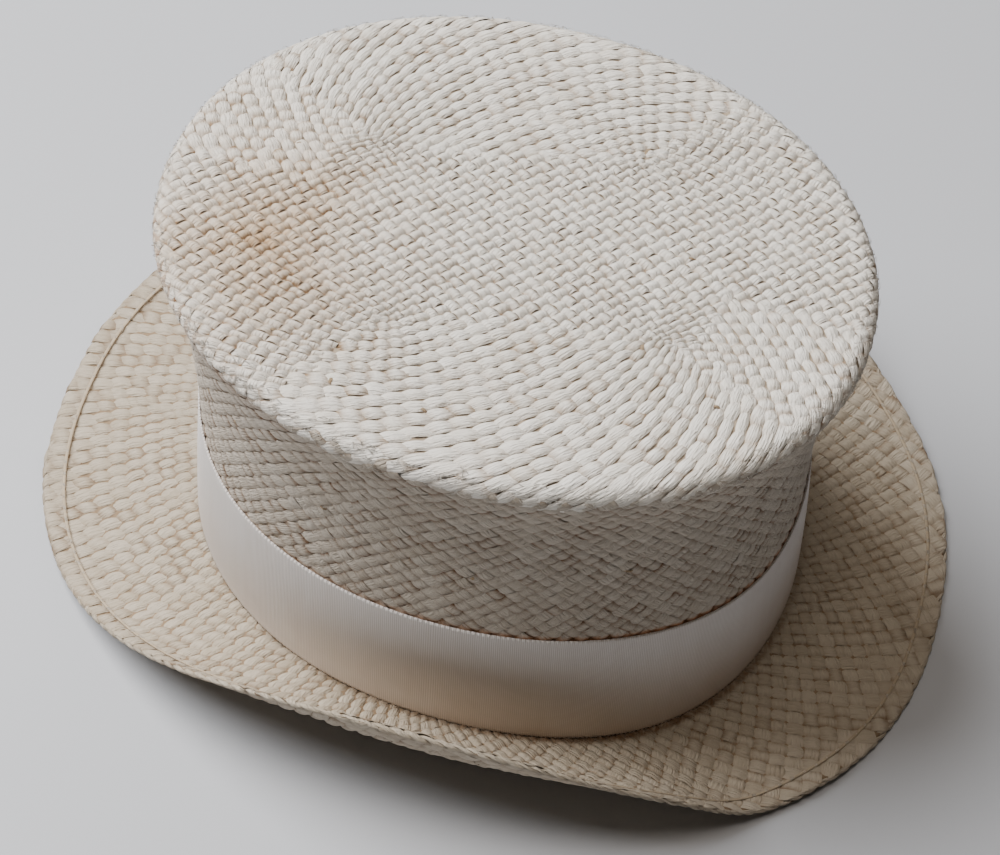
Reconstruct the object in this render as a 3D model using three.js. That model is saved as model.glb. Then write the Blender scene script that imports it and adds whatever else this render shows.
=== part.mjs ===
// Straw top hat: a hollow woven crown, a curled brim with a folded hem, and a ribbon round the
// foot of the crown. Millimetres, +Z up, X from back to front. The origin is on the floor under
// the middle of the brim.
import * as THREE from 'three';

// Wall thicknesses and the clearance between neighbouring pieces.
const STRAW = 2.0;
const RIBBON = 0.9;
const CLEARANCE = 0.3;

// The crown from foot to top edge, a row for each section of its outer face. The ovals lean back
// as they rise.
const CROWN_SECTIONS = [
  { level: 12.6, halfLength: 98.8, halfWidth: 89.4, leanX: 1.8, leanY: -6.5 },
  { level: 40.0, halfLength: 97.4, halfWidth: 88.8, leanX: 0.8, leanY: -6.5 },
  { level: 66.0, halfLength: 95.8, halfWidth: 87.4, leanX: -0.4, leanY: -6.5 },
  { level: 95.0, halfLength: 96.6, halfWidth: 84.6, leanX: -2.2, leanY: -6.7 },
  { level: 118.0, halfLength: 99.6, halfWidth: 84.6, leanX: -3.2, leanY: -6.9 },
  { level: 137.4, halfLength: 105.8, halfWidth: 88.3, leanX: -3.6, leanY: -7.0 },
];
const CROWN_TOP = 142.4;
const CROWN_OVAL = 2.08;
const EDGE_RADIUS = CROWN_TOP - CROWN_SECTIONS.at(-1).level;
const EDGE_STEPS = 4;
const WALL_STEPS = 11;
const TOP_RINGS = [0, 0.5, 1];

// The foot of the crown dips at front and back and rises at the sides. The dip fades out up the wall.
const FOOT_DIP = 3.2;
const DIP_FADE = [60, 118];

// The ribbon's upper edge on the wall. Its lower edge rests just above the brim.
const BAND_TOP = 64.6;
const BAND_STEPS = 4;

// The brim's edge in plan, and its height from the flat ends to the curled sides.
const BRIM = {
  halfLength: 150.6,
  halfWidth: 119.8,
  oval: 2.3,
  endHeight: 1.96,
  sideRise: 45,
  curlPower: 5,
};
const BRIM_FOOT = CROWN_SECTIONS[0].level + STRAW;
const BAND_FOOT = BRIM_FOOT + 2 * CLEARANCE;
const BRIM_STEPS = 9;
const HEM = { width: 8, step: 0.7, ramp: 0.6, round: 0.8 };

// The hat has gone soft at one corner, where three lines hang lower: the foot of the crown, the
// ribbon's upper edge and the brim's edge. Angles and spreads in degrees. The first fades out up
// the wall.
const FOOT_SAG = { angle: -45, spread: 32, drop: 6.5 };
const BAND_SAG = { angle: -18, spread: 34, drop: 6 };
const EDGE_SAG = { angle: -48, spread: 9, drop: 6.4 };
const SAG_FADE = [15, 60];

// Slopes of the brim's section in degrees, where it leaves the crown and at its edge.
const SLOPE_END = { foot: -14, edge: -3 };
const SLOPE_SIDE = { foot: 20, edge: 80 };
const SECTION_PULL = 0.42;

const SEGMENTS = 88;

// A point of an oval whose corners fill out as the exponent grows past 2.
function oval(angle, halfLength, halfWidth, exponent) {
  const c = Math.cos(angle);
  const s = Math.sin(angle);
  const power = 2 / exponent;
  return new THREE.Vector3(
    halfLength * Math.sign(c) * Math.abs(c) ** power,
    halfWidth * Math.sign(s) * Math.abs(s) ** power,
    0,
  );
}

// The crown's section at a level, on a smooth curve through the table.
function crownSection(level) {
  const rows = CROWN_SECTIONS;
  const last = rows.length - 1;
  const at = Math.min(Math.max(level, rows[0].level), rows[last].level);
  let k = 0;
  while (k < last - 1 && at > rows[k + 1].level) k += 1;
  const before = rows[Math.max(k - 1, 0)];
  const from = rows[k];
  const to = rows[k + 1];
  const after = rows[Math.min(k + 2, last)];
  const span = to.level - from.level;
  const t = (at - from.level) / span;
  const smooth = (key) => {
    const leave = span * (to[key] - before[key]) / (to.level - before.level);
    const arrive = span * (after[key] - from[key]) / (after.level - from.level);
    const rise = to[key] - from[key];
    const bend = 3 * rise - 2 * leave - arrive;
    return from[key] + t * (leave + t * (bend + t * (leave + arrive - 2 * rise)));
  };
  return {
    halfLength: smooth('halfLength'),
    halfWidth: smooth('halfWidth'),
    leanX: smooth('leanX'),
    leanY: smooth('leanY'),
  };
}

// How far a soft line hangs at an angle.
function sag(line, angle) {
  const past = THREE.MathUtils.radToDeg(angle) - line.angle;
  const turn = THREE.MathUtils.euclideanModulo(past + 180, 360) - 180;
  return line.drop * Math.exp(-((turn / line.spread) ** 2));
}

// How far the wall is moved up or down at an angle and a level.
function dip(angle, level) {
  const fade = (range) => 1 - THREE.MathUtils.smoothstep(level, ...range);
  return -FOOT_DIP * fade(DIP_FADE) * Math.cos(2 * angle) - fade(SAG_FADE) * sag(FOOT_SAG, angle);
}

// A point of the crown's wall, set outwards from the outer face by offset, or inwards if it is
// negative.
function crownPoint(angle, level, offset, reach = 1) {
  const section = crownSection(level);
  const halfLength = (section.halfLength + offset) * reach;
  const halfWidth = (section.halfWidth + offset) * reach;
  const p = oval(angle, halfLength, halfWidth, CROWN_OVAL);
  return p.add(new THREE.Vector3(section.leanX, section.leanY, level + dip(angle, level)));
}

// A turned body whose profile entries are placed at each angle by their own function.
function turned(profile) {
  const outline = profile.map((entry, k) => new THREE.Vector2(1, k));
  const geometry = new THREE.LatheGeometry(outline, SEGMENTS);
  const position = geometry.attributes.position;
  for (let k = 0; k < position.count; k += 1) {
    const turn = Math.floor(k / profile.length) % SEGMENTS;
    const p = profile[k % profile.length](2 * Math.PI * turn / SEGMENTS);
    position.setXYZ(k, p.x, p.y, p.z);
  }
  geometry.computeVertexNormals();
  return geometry;
}

function steps(count, from, to) {
  return Array.from({ length: count + 1 }, (unused, k) => from + (to - from) * k / count);
}

// One face of the crown, from its foot to the middle of the top, set inwards from the outer face.
function crownFace(inset) {
  const edge = CROWN_SECTIONS.at(-1);
  const round = EDGE_RADIUS - inset;
  const wall = steps(WALL_STEPS, CROWN_SECTIONS[0].level, edge.level)
    .map((level) => (angle) => crownPoint(angle, level, -inset));
  const corner = steps(EDGE_STEPS, 0, Math.PI / 2).slice(1).map((turn) => (angle) => {
    const p = crownPoint(angle, edge.level, -EDGE_RADIUS + round * Math.cos(turn));
    p.z += round * Math.sin(turn);
    return p;
  });
  const top = TOP_RINGS.slice(0, -1).reverse().map((reach) => (angle) => {
    const p = crownPoint(angle, edge.level, -EDGE_RADIUS, reach);
    p.z = CROWN_TOP - inset;
    return p;
  });
  return [...wall, ...corner, ...top];
}

function crown() {
  return turned([...crownFace(STRAW).reverse(), ...crownFace(0)]);
}

// How far the brim is curled at an angle: 0 at front and back, 1 at the sides.
function curl(angle) {
  return Math.abs(Math.sin(angle)) ** BRIM.curlPower;
}

// The brim's upper face along one section, from the foot of the crown to the brim's edge.
function brimSection(angle) {
  const foot = crownPoint(angle, BRIM_FOOT, CLEARANCE);
  const edge = oval(angle, BRIM.halfLength, BRIM.halfWidth, BRIM.oval);
  edge.z = BRIM.endHeight + BRIM.sideRise * curl(angle) - sag(EDGE_SAG, angle);
  const out = new THREE.Vector3(edge.x - foot.x, edge.y - foot.y, 0).normalize();
  const chord = foot.distanceTo(edge);
  const along = (degrees) => {
    const slope = THREE.MathUtils.degToRad(degrees);
    const heading = out.clone().multiplyScalar(Math.cos(slope)).setZ(Math.sin(slope));
    return heading.multiplyScalar(chord * SECTION_PULL);
  };
  const footSlope = THREE.MathUtils.lerp(SLOPE_END.foot, SLOPE_SIDE.foot, curl(angle));
  const edgeSlope = THREE.MathUtils.lerp(SLOPE_END.edge, SLOPE_SIDE.edge, curl(angle));
  const curve = new THREE.CubicBezierCurve3(
    foot,
    foot.clone().add(along(footSlope)),
    edge.clone().sub(along(edgeSlope)),
    edge,
  );
  return { curve, out, length: curve.getLength() };
}

// A point of the brim, depth below its upper face, at a share of the section's length. Its foot is
// cut upright.
function brimPoint(angle, share, depth) {
  const { curve, out } = brimSection(angle);
  const p = curve.getPointAt(share);
  if (share === 0) return p.setZ(p.z - depth);
  const heading = curve.getTangentAt(share);
  const flat = heading.dot(out);
  const down = out.clone().multiplyScalar(heading.z).setZ(-flat);
  return p.addScaledVector(down, depth);
}

// The hem is a second layer folded up over the edge, so the brim is a step thicker there.
function brim() {
  const shareFromEdge = (angle, distance) => 1 - distance / brimSection(angle).length;
  const beforeHem = (t, depth) => (angle) => brimPoint(angle, t * shareFromEdge(angle, HEM.width), depth);
  const onHem = (distance, depth) => (angle) => brimPoint(angle, shareFromEdge(angle, distance), depth);
  const stations = steps(BRIM_STEPS, 0, 1);
  const upper = stations.map((t) => beforeHem(t, 0));
  const hem = [
    onHem(HEM.width - HEM.ramp, -HEM.step),
    onHem(HEM.round, -HEM.step),
    onHem(0, (STRAW - HEM.step) / 2),
    onHem(HEM.round, STRAW),
  ];
  const lower = stations.reverse().map((t) => beforeHem(t, STRAW));
  const loop = [...upper, ...hem, ...lower];
  return turned([...loop, loop[0]].reverse());
}

// The ribbon stands just clear of the wall.
function hatBand() {
  const face = (offset) => steps(BAND_STEPS, 0, 1).map((t) => (angle) => {
    const top = BAND_TOP - sag(BAND_SAG, angle);
    return crownPoint(angle, THREE.MathUtils.lerp(BAND_FOOT, top, t), offset);
  });
  const loop = [...face(CLEARANCE + RIBBON), ...face(CLEARANCE).reverse()];
  return turned([...loop, loop[0]]);
}

function piece(name, geometry, colour, roughness) {
  const material = new THREE.MeshStandardMaterial({ color: colour, roughness, metalness: 0 });
  const mesh = new THREE.Mesh(geometry, material);
  mesh.name = name;
  return mesh;
}

const hat = new THREE.Group();
hat.add(piece('crown', crown(), '#d6d0c6', 0.8));
hat.add(piece('brim', brim(), '#cbbfae', 0.8));
hat.add(piece('hat_band', hatBand(), '#d9cfc2', 0.7));

export default hat;
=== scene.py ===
import math

import bpy
import numpy as np
from mathutils import Matrix, Vector


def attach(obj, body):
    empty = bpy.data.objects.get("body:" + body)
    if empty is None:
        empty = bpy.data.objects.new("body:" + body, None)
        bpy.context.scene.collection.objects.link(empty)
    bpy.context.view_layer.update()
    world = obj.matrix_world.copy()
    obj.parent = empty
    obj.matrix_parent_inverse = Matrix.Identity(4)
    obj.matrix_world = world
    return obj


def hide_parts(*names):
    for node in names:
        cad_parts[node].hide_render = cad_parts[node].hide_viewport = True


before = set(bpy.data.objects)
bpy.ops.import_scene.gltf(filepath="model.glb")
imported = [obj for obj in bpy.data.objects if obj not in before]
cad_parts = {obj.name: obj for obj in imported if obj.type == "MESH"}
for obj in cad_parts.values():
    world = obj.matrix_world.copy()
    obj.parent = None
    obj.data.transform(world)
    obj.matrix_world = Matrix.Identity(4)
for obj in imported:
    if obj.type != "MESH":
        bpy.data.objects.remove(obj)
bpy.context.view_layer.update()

RANDOM = np.random.default_rng(58)
MM = 0.001
TINY = 1e-12

# Wall thickness of the straw and the ribbon, and the clearance between them, in millimetres.
STRAW = 2.0
RIBBON = 0.9
CLEARANCE = 0.3

# The crown's outer face from foot to top edge: level, half length, half width, lean in X and lean in Y.
LEVEL, HALF_LENGTH, HALF_WIDTH, LEAN_X, LEAN_Y = np.array([
    (12.6, 98.8, 89.4, 1.8, -6.5),
    (40.0, 97.4, 88.8, 0.8, -6.5),
    (66.0, 95.8, 87.4, -0.4, -6.5),
    (95.0, 96.6, 84.6, -2.2, -6.7),
    (118.0, 99.6, 84.6, -3.2, -6.9),
    (137.4, 105.8, 88.3, -3.6, -7.0),
]).T
TOP_MIDDLE = np.array([LEAN_X[-1], LEAN_Y[-1]])
CROWN_TOP = 142.4
CROWN_OVAL = 2.08
EDGE_RADIUS = CROWN_TOP - LEVEL[-1]
FOOT_DIP = 3.2
DIP_FADE = (60.0, 118.0)

# The ribbon's lower and upper edges on the crown's wall.
BRIM_FOOT = LEVEL[0] + STRAW
BAND_FOOT = BRIM_FOOT + 2 * CLEARANCE
BAND_TOP = 64.6

# One corner has gone soft. The foot of the crown, the ribbon's upper edge and the brim's edge each hang lower
# there: angle and spread in degrees, and drop. The first fades out up the wall.
FOOT_SAG = (-45.0, 32.0, 6.5)
BAND_SAG = (-18.0, 34.0, 6.0)
EDGE_SAG = (-48.0, 9.0, 6.4)
SAG_FADE = (15.0, 60.0)

# The brim's edge in plan, the rise of its curled sides, and the slopes of its section in degrees.
BRIM_LENGTH, BRIM_WIDTH, BRIM_OVAL = 150.6, 119.8, 2.3
BRIM_END_HEIGHT, BRIM_SIDE_RISE, CURL_POWER = 1.96, 45.0, 5
FOOT_SLOPES = (-14.0, 20.0)
EDGE_SLOPES = (-3.0, 80.0)
SECTION_PULL = 0.42
HEM_WIDTH, HEM_STEP = 8.0, 0.7

# The crown's strands turn round four whorls: their radius as a share of the top, the bearing of the first in
# degrees, and the strands counted from the middle of the top to a whorl along and across its bearing.
WHORL_RADIUS = 0.515
WHORL_BEARING = 60.4
WHORL_STRANDS = complex(16, 2)
WHORL_INTEGRAL = math.pi * math.sqrt(2) / 4

# Strands of the two families that cross one turn of the wall and of the brim.
WALL_STRANDS = complex(104, 102)
BRIM_STRANDS = complex(98, 156)

TURN = 2 * math.pi


def oval(angle, half_length, half_width, exponent):
    """A point of an oval whose corners fill out as the exponent grows past 2."""
    c, s = np.cos(angle), np.sin(angle)
    power = 2 / exponent
    return half_length * np.sign(c) * np.abs(c) ** power, half_width * np.sign(s) * np.abs(s) ** power


def smooth_step(x, low, high):
    t = np.clip((x - low) / (high - low), 0, 1)
    return t * t * (3 - 2 * t)


def along_crown(level, column):
    """A column of the crown's table at any level, on a smooth curve."""
    last = len(LEVEL) - 1
    level = np.clip(level, LEVEL[0], LEVEL[-1])
    k = np.clip(np.searchsorted(LEVEL, level, side="right") - 1, 0, last - 1)
    before, after = np.maximum(k - 1, 0), np.minimum(k + 2, last)
    span = LEVEL[k + 1] - LEVEL[k]
    t = (level - LEVEL[k]) / span
    leave = span * (column[k + 1] - column[before]) / (LEVEL[k + 1] - LEVEL[before])
    arrive = span * (column[after] - column[k]) / (LEVEL[after] - LEVEL[k])
    rise = column[k + 1] - column[k]
    return column[k] + t * (leave + t * (3 * rise - 2 * leave - arrive + t * (leave + arrive - 2 * rise)))


def sag(line, angle):
    """How far a soft line hangs at each angle."""
    middle, spread, drop = line
    turn = (np.degrees(angle) - middle + 180) % 360 - 180
    return drop * np.exp(-(turn / spread) ** 2)


def foot_dip(angle, level):
    """How far the crown's wall is moved up or down."""
    dip = -FOOT_DIP * (1 - smooth_step(level, *DIP_FADE)) * np.cos(2 * angle)
    return dip - (1 - smooth_step(level, *SAG_FADE)) * sag(FOOT_SAG, angle)


def band_top(angle):
    """Level of the ribbon's upper edge."""
    return BAND_TOP - sag(BAND_SAG, angle)


def crown_wall(angle, level, offset):
    """A point of the crown's wall, set out from its outer face."""
    half_length = along_crown(level, HALF_LENGTH) + offset
    half_width = along_crown(level, HALF_WIDTH) + offset
    x, y = oval(angle, half_length, half_width, CROWN_OVAL)
    x = x + along_crown(level, LEAN_X)
    y = y + along_crown(level, LEAN_Y)
    return np.stack(np.broadcast_arrays(x, y, level + foot_dip(angle, level)), -1)


# The weave is laid out on a disc: the flat top is its inner part, and the rounded edge and the wall follow
# outside it, each step out growing with the radius so that strands keep their width.
FLAT_SHARE = (HALF_LENGTH[-1] - EDGE_RADIUS) / HALF_LENGTH[-1]
WALL_RADIUS = 92.0
EDGE_ARC = EDGE_RADIUS * math.pi / 2


def disc_radius(travel):
    """The disc's radius at a distance past the flat top, over the rounded edge and down the wall."""
    return FLAT_SHARE * np.exp(travel / WALL_RADIUS)


def crown_surface(z, inset=0.0):
    """The crown's face at complex places on the weave's disc."""
    angle, radius = np.angle(z), np.abs(z)
    travel = WALL_RADIUS * np.log(np.maximum(radius / FLAT_SHARE, 1e-9))
    turn = np.clip(travel / EDGE_RADIUS, 0, math.pi / 2)
    round_radius = EDGE_RADIUS - inset
    level = LEVEL[-1] - np.maximum(travel - EDGE_ARC, 0)
    points = crown_wall(angle, level, -EDGE_RADIUS + round_radius * np.sin(turn))
    points[..., 2] += round_radius * np.cos(turn)
    flat = travel < 0
    reach = np.minimum(radius / FLAT_SHARE, 1)
    shrunk = TOP_MIDDLE + (points[..., :2] - TOP_MIDDLE) * reach[..., None]
    points[..., :2] = np.where(flat[..., None], shrunk, points[..., :2])
    return points


def brim_curl(angle):
    return np.abs(np.sin(angle)) ** CURL_POWER


def brim_section(angle):
    """The brim's section at each angle: control points from the crown's foot to the edge, and its way out."""
    foot = crown_wall(angle, np.full_like(angle, BRIM_FOOT), CLEARANCE)
    x, y = oval(angle, BRIM_LENGTH, BRIM_WIDTH, BRIM_OVAL)
    edge = np.stack([x, y, BRIM_END_HEIGHT + BRIM_SIDE_RISE * brim_curl(angle) - sag(EDGE_SAG, angle)], -1)
    out = (edge - foot) * (1, 1, 0)
    out /= np.linalg.norm(out, axis=-1, keepdims=True)
    pull = SECTION_PULL * np.linalg.norm(edge - foot, axis=-1)

    def heading(slopes):
        slope = np.radians(slopes[0] + (slopes[1] - slopes[0]) * brim_curl(angle))
        flat = out * np.cos(slope)[..., None]
        return (flat + np.stack([0 * slope, 0 * slope, np.sin(slope)], -1)) * pull[..., None]

    return foot, foot + heading(FOOT_SLOPES), edge - heading(EDGE_SLOPES), edge, out


def brim_surface(angle, share, depth):
    """The brim's upper face at a share of the way to its edge, or a depth below it."""
    a, b, c, d, out = brim_section(angle)
    t = share[..., None]
    s = 1 - t
    point = s ** 3 * a + 3 * s * s * t * b + 3 * s * t * t * c + t ** 3 * d
    along = s * s * (b - a) + 2 * s * t * (c - b) + t * t * (d - c)
    along /= np.linalg.norm(along, axis=-1, keepdims=True)
    flat = (along * out).sum(-1)
    down = out * along[..., 2:3]
    down[..., 2] = -flat
    return point + down * np.asarray(depth)[..., None]


# Mesh building.

BAKE_MARGIN = 0.06


def new_piece(name, points, faces, material, uv=None, marks=None, cells=None):
    """A smooth mesh in metres, with strand UVs, a bake layout and the colour marks its material reads."""
    mesh = bpy.data.meshes.new(name)
    points = np.asarray(points, float).reshape(-1, 3) * MM
    faces = np.asarray(faces, np.int32).reshape(-1, 4)
    mesh.vertices.add(len(points))
    mesh.vertices.foreach_set("co", points.ravel())
    mesh.loops.add(faces.size)
    mesh.loops.foreach_set("vertex_index", faces.ravel())
    mesh.polygons.add(len(faces))
    mesh.polygons.foreach_set("loop_start", np.arange(0, faces.size, 4, dtype=np.int32))
    mesh.polygons.foreach_set("use_smooth", np.ones(len(faces), bool))
    for layer_name, values in (("strand", uv), ("OFBake", cells)):
        if values is not None:
            layer = mesh.uv_layers.new(name=layer_name)
            layer.data.foreach_set("uv", np.asarray(values, float).reshape(-1, 2)[faces.ravel()].ravel())
    if marks is not None:
        colours = np.ones((len(points), 4))
        colours[:, :3] = np.asarray(marks, float).reshape(-1, 3)
        attribute = mesh.color_attributes.new("marks", "FLOAT_COLOR", "POINT")
        attribute.data.foreach_set("color", colours.ravel())
    mesh.update(calc_edges=True)
    mesh.validate()
    mesh.materials.append(material)
    piece = bpy.data.objects.new(name, mesh)
    bpy.context.scene.collection.objects.link(piece)
    return piece


def grid_faces(rows, columns, wrap=False):
    """Quads of a grid of vertices, row by row, closed along its columns if it wraps."""
    start = np.arange(rows - 1)[:, None] * columns
    c = np.arange(columns if wrap else columns - 1)[None, :]
    n = (c + 1) % columns
    corners = np.broadcast_arrays(start + c, start + n, start + columns + n, start + columns + c)
    return np.stack(corners, -1).reshape(-1, 4)


def patch_faces(count, rows, columns):
    one = grid_faces(rows, columns)
    return (one[None] + (np.arange(count) * rows * columns)[:, None, None]).reshape(-1, 4)


def bake_cells(count, across, along):
    """Each patch's own rectangle in a square layout."""
    side = math.ceil(math.sqrt(count))
    k = np.arange(count)
    corner = np.stack([k % side, k // side], -1)[:, None, :]
    inside = BAKE_MARGIN + (1 - 2 * BAKE_MARGIN) * np.stack([along, across], -1)[None]
    return (corner + inside) / side


# The crown's strand field.

class WhorlField:
    """Strand coordinates on the disc: straight in the middle, turning a quarter less round each whorl."""

    RADII = np.concatenate([np.linspace(0, 2, 1601), np.linspace(2, 9, 801)[1:]])
    ANGLES = np.linspace(1e-4, math.pi / 2 - 1e-4, 121)

    def __init__(self):
        middle = (self.RADII[1:] + self.RADII[:-1]) / 2
        z = middle[:, None] * np.exp(1j * self.ANGLES)[None]
        steps = (1 - z ** 4) ** -0.25 * np.exp(1j * self.ANGLES)[None] * np.diff(self.RADII)[:, None]
        self.table = np.concatenate([np.zeros((1, len(self.ANGLES))), np.cumsum(steps, 0)])
        self.scale = WHORL_STRANDS / WHORL_INTEGRAL
        self.bearing = np.exp(1j * math.radians(WHORL_BEARING))

    def at(self, z):
        """Quadrant, strand coordinate and its first two derivatives at places on the disc."""
        x = z / self.bearing / WHORL_RADIUS
        quadrant = np.floor(np.angle(x) % TURN / (math.pi / 2)).astype(int) % 4
        turn = 1j ** quadrant
        x = x / turn
        angle = np.clip(np.angle(x), self.ANGLES[0], self.ANGLES[-1])
        x = np.abs(x) * np.exp(1j * angle)
        radius = np.clip(np.abs(x), 0, self.RADII[-1] - 1e-6)
        i = np.clip(np.searchsorted(self.RADII, radius, side="right") - 1, 0, len(self.RADII) - 2)
        s = (radius - self.RADII[i]) / (self.RADII[i + 1] - self.RADII[i])
        step = self.ANGLES[1] - self.ANGLES[0]
        j = np.clip(((angle - self.ANGLES[0]) / step).astype(int), 0, len(self.ANGLES) - 2)
        t = (angle - self.ANGLES[0]) / step - j
        near = self.table[i, j] * (1 - t) + self.table[i, j + 1] * t
        far = self.table[i + 1, j] * (1 - t) + self.table[i + 1, j + 1] * t
        strand = turn * self.scale * (near * (1 - s) + far * s)
        unit = WHORL_RADIUS * self.bearing
        first = self.scale * (1 - x ** 4) ** -0.25 / unit
        second = self.scale * x ** 3 * (1 - x ** 4) ** -1.25 / unit ** 2 / turn
        return quadrant, angle, strand, first, second


# A strand passes over one crossing strand and under the next. Where it lies on top it shows as one float. In
# some places one family shows alone in close rows, its floats slanting like the lay of a rope.
ROPE_LENGTH = 1.6
BRIM_ROPE_LENGTH = 1.28
ROPE_SHIFT = 0.34
ROPE_SLANT = math.radians(-5)
ROPE_CORNER = math.radians(28)
ROPE_START = 1.15
REFINING = np.array([0.055, 0.066, 0.044, 0.07])
LEAST_SHOWING = 0.2

# How finely the top, a turn of a ring and a unit of its depth are searched for floats, and how the edges of the
# rows waver there: size and pace.
TOP_SAMPLES = 230
TURN_SAMPLES = 1600
DEPTH_SAMPLES = 260
ROW_WAVES = ((0.07, 9), (0.05, 23))


def plain_floats(u, v):
    """The float that shows at each strand coordinate: a key, its middle, its heading and its half length."""
    i, j = np.floor(u), np.floor(v)
    along = (i + j) % 2 == 0
    return np.stack([along, i, j], -1), i + 0.5 + 1j * (j + 0.5), np.where(along, 1, 1j), np.full_like(u, 0.5)


def rope_floats(u, v, along, length):
    """The same for rows in which the strands along u, or else along v, show alone."""
    run, across = np.where(along, u, -v), np.where(along, v, u)
    row = np.floor(across)
    shift = ROPE_SHIFT * row
    step = np.floor(run / length - shift)
    middle = (step + shift + 0.5) * length + 1j * (row + 0.5)
    middle = np.where(along, middle, -1j * middle)
    heading = np.where(along, 1, -1j) * np.exp(1j * ROPE_SLANT)
    return np.stack([2 + along, row, step], -1), middle, heading, np.full_like(u, length / 2)


def pick_floats(places, areas, strand, rope, rope_along, length, zone):
    """The floats that show enough over a fine scatter of places, and the place nearest each one's middle."""
    u, v = strand.real, strand.imag
    plain, ropes = plain_floats(u, v), rope_floats(u, v, rope_along, length)
    key, middle, heading, half = [
        np.where(rope if a.ndim == 1 else rope[:, None], b, a) for a, b in zip(plain, ropes)
    ]
    key = np.concatenate([key, zone[:, None]], -1).astype(int)
    _, inverse = np.unique(key, axis=0, return_inverse=True)
    inverse = inverse.ravel()
    shown = np.bincount(inverse, areas)
    count = np.bincount(inverse)
    centre = (np.bincount(inverse, places.real) + 1j * np.bincount(inverse, places.imag)) / count
    order = np.argsort(np.abs(places - centre[inverse]), kind="stable")[::-1]
    nearest = np.zeros(len(count), int)
    nearest[inverse[order]] = order
    k = nearest[shown > LEAST_SHOWING * 2 * half[nearest]]
    return k, {"place": places[k], "away": middle[k] - strand[k], "heading": heading[k], "half": half[k]}


def refine(strand, rate):
    """Splits strands as they spread beyond the whorls, so that they keep their width."""
    out = np.maximum(-strand.imag, 0)
    return strand.real * (1 + rate * out) + 1j * (strand.imag - rate / 2 * out ** 2)


def coarsen(strand, rate):
    """The way back from refined strands."""
    out = (np.sqrt(1 + 2 * rate * np.maximum(-strand.imag, 0)) - 1) / rate
    return strand.real / (1 + rate * out) + 1j * np.where(strand.imag < 0, -out, strand.imag)


def top_floats(field, edge):
    """Floats over the crown's top: plain in the middle and at the ends, rows at the two sides."""
    side = np.linspace(-edge, edge, TOP_SAMPLES)
    places = np.add.outer(1j * side, side).ravel()
    places = places[np.abs(places) < edge]
    quadrant, angle, strand, first, second = field.at(places)
    radius = np.abs(places)
    beyond = radius * np.cos(angle - math.pi / 4) > WHORL_RADIUS * math.sqrt(0.5)
    rope_along = beyond & (quadrant % 2 == 0)
    rope_across = (quadrant % 2 == 1) & (angle < ROPE_CORNER) & (radius > ROPE_START * WHORL_RADIUS)
    start, stop = WHORL_STRANDS * 1j ** quadrant, WHORL_STRANDS * 1j ** (quadrant + 1)
    line = (stop - start) / np.abs(stop - start)
    local = (strand - (start + stop) / 2) / line
    rate = REFINING[quadrant]
    finer = 1 + rate * np.maximum(-local.imag, 0)
    areas = (side[1] - side[0]) ** 2 * np.abs(first * finer) ** 2
    strand = (start + stop) / 2 + line * refine(local, rate)
    k, floats = pick_floats(places, areas, strand, rope_along | rope_across, rope_along, ROPE_LENGTH,
                            beyond * (1 + quadrant))
    local, rate, line = local[k, None], rate[k, None], line[k, None]
    floats["settle"] = lambda away: (coarsen(refine(local, rate) + away / line, rate) - local) * line
    floats["stretch"] = 1 / first[k]
    floats["bend"] = -0.5 * second[k] / first[k] ** 3
    return floats


def ring_floats(strands, depth, rope_from, rope_to, rope_along, length):
    """Floats over a ring, on a chart of angle and distance in from its rim, with rows over part of it."""
    angles = np.linspace(-math.pi, math.pi, TURN_SAMPLES, endpoint=False)
    depths = np.linspace(0, depth, math.ceil(depth * DEPTH_SAMPLES))
    places = np.subtract.outer(angles, 1j * depths).ravel()
    pace = strands / TURN
    areas = np.full(len(places), (angles[1] - angles[0]) * (depths[1] - depths[0]) * np.abs(pace) ** 2)
    angle = places.real % TURN
    wave = sum(size * np.sin(often * places.imag) for size, often in ROW_WAVES)
    rope = (angle + wave > rope_from) & (angle + wave < rope_to)
    _, floats = pick_floats(places, areas, places * pace, rope, rope_along & rope, length, rope)
    return strips(floats["place"], floats["heading"], floats["half"], 1 / pace, floats["away"])


def strips(places, heading, half, size, away=0):
    """Straight strips at places on a chart: heading and half length of each, and the size of one strand."""
    flat = np.zeros(len(places), complex)
    return {
        "place": flat + places, "away": flat + away, "heading": flat + heading, "half": flat.real + half,
        "stretch": flat + size, "bend": flat, "settle": lambda away: away,
    }


# The make of a float, in strand widths: how far its ends run on under their neighbours, plain and in rows, the
# half length past which it belongs to a row, how much it narrows to its ends there, and its width elsewhere.
FLOAT_REACH = 0.3
ROPE_REACH = 0.42
PLAIN_HALF = 0.6
ROPE_TAPER = 0.24
FLOAT_WIDTH = 1.08

# The roundness of a float's sides, how its columns crowd towards them, how far it bends with the strands, how
# far its arch goes on past its ends, and the step over which slopes are taken.
SIDE_POWER = 2.3
SIDE_CROWDING = 0.6
BEND_LIMIT = 0.35
ARCH_LIMIT = 1.7
SLOPE_STEP = 2e-3

# How much floats differ in width, lean, length, height, tint and place, and how dark the brown painted shade
# is at their ends and sides.
WIDTH_VARIES, LEAN_VARIES, LENGTH_VARIES = 0.08, 0.07, 0.05
HEIGHT_VARIES, TINT_VARIES, PLACE_VARIES = 0.06, 0.22, 0.04
SHADE_MEAN, SHADE_VARIES, SHADE_LEAST = 0.35, 0.4, 0.05
SIDE_SHADE, SIDE_SHADE_POWER = 0.25, 5
STAIN_DEEPENS = 1.2
GRAIN_SPREAD = 400


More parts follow.
